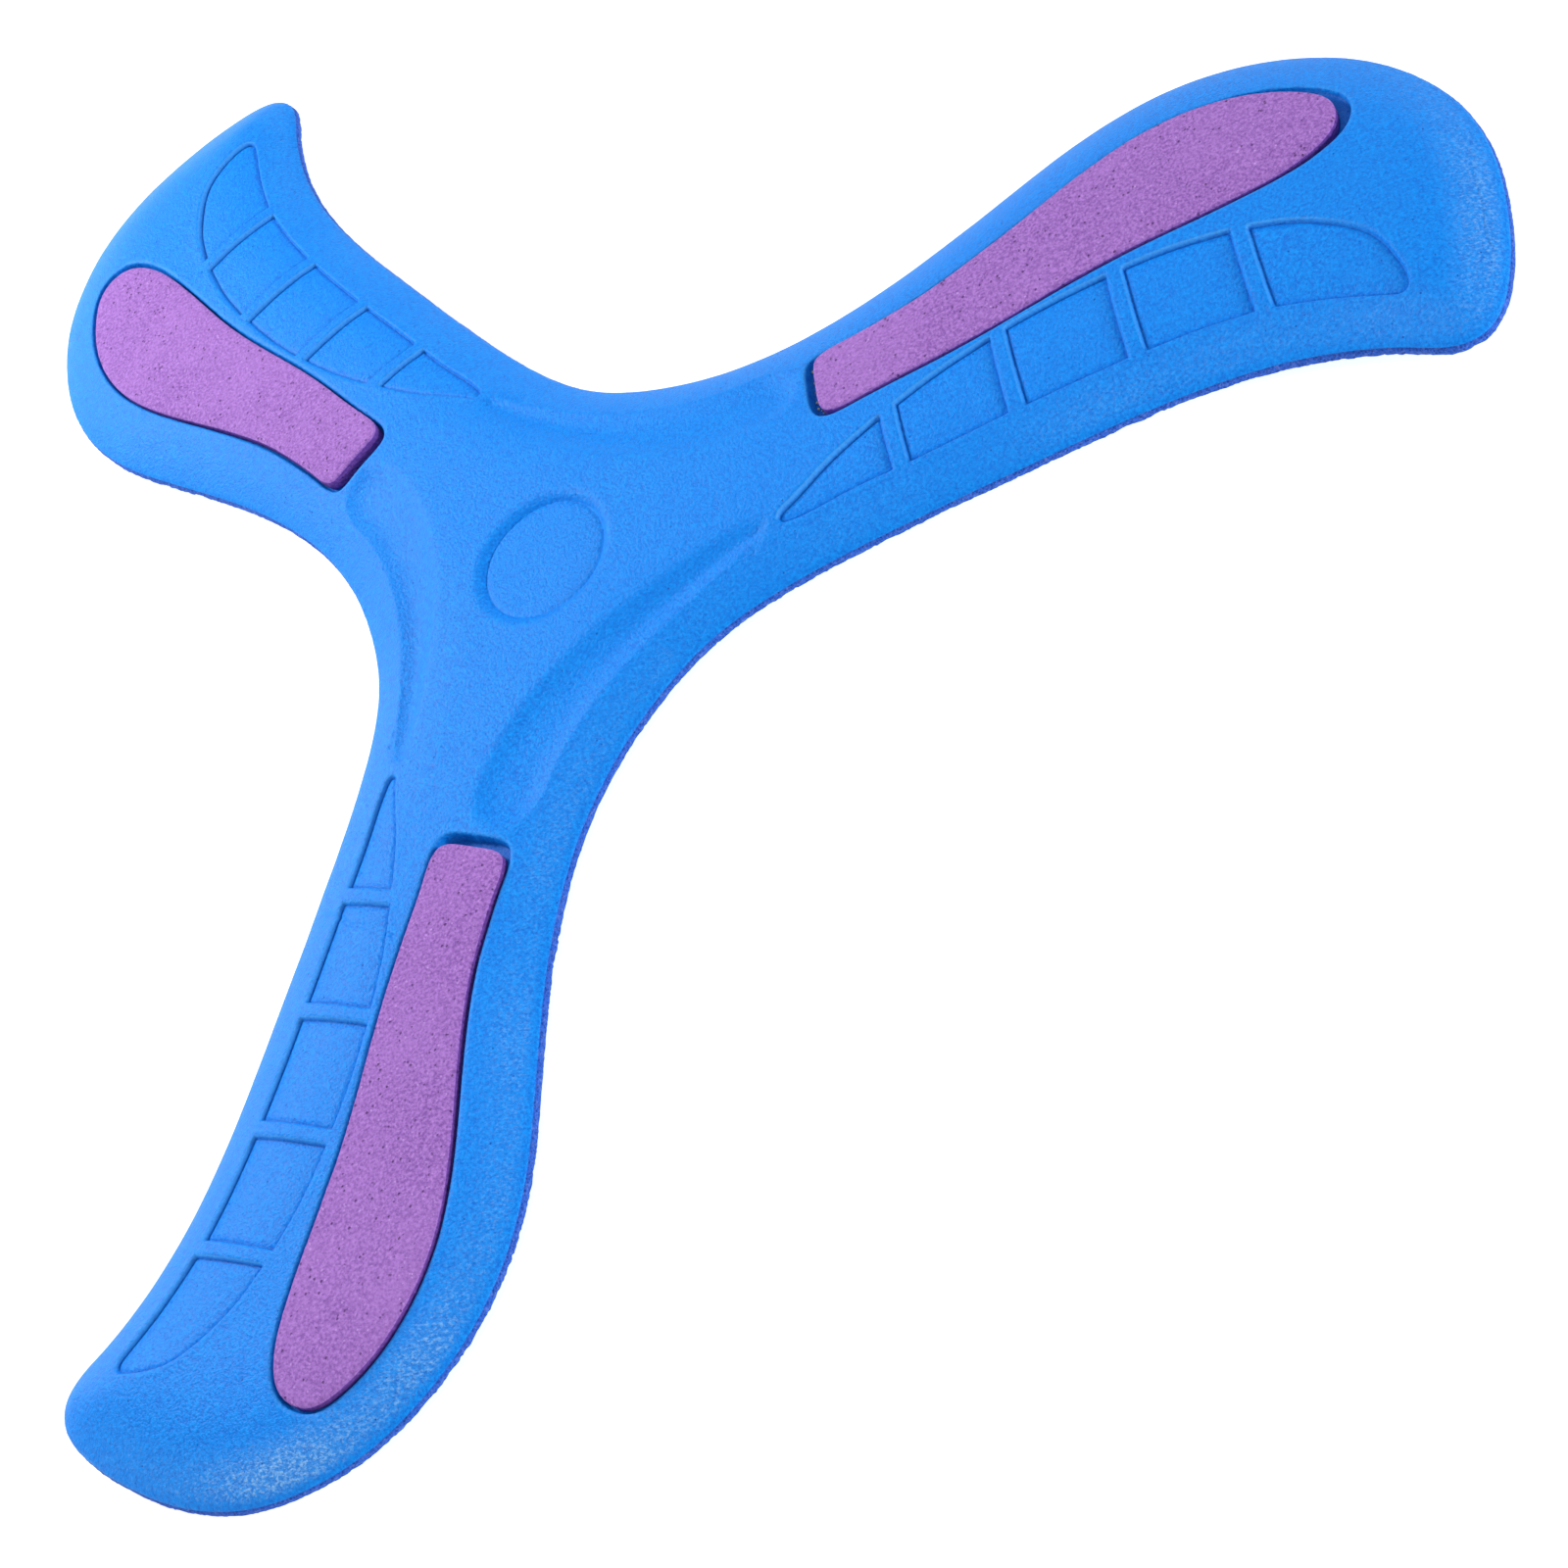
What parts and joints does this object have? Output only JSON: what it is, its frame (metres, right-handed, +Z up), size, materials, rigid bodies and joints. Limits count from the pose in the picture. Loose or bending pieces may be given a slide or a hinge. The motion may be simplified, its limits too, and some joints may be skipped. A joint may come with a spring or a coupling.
{
  "type": "soft foam boomerang",
  "caption": "Soft moulded foam throwing boomerang with curved hooked blades around a hub, domed edges, recessed grip panels and long contrasting foam inlays set into pockets.",
  "frame": {"origin": "hub centre, on the flat underside", "axes": "+Z up, out of the decorated top face; +X along the centre line of blade B; blades A and C are blade B turned by +120 and -120 degrees about Z"},
  "size_m": [0.239, 0.2601, 0.0067],
  "materials": {
    "blue_foam": "matt moulded closed-cell EVA foam skin with a soft sheen and a raw die-cut edge",
    "violet_foam": "matt skived open-cell face of EVA foam sheet",
    "contact_glue": "dried contact adhesive film"
  },
  "bodies": {
    "root": {"foam_body": "blue_foam", "blade_a_inlay": "violet_foam", "blade_b_inlay": "violet_foam", "blade_c_inlay": "violet_foam", "blade_a_glue_film": "contact_glue", "blade_b_glue_film": "contact_glue", "blade_c_glue_film": "contact_glue"}
  },
  "joints": []
}
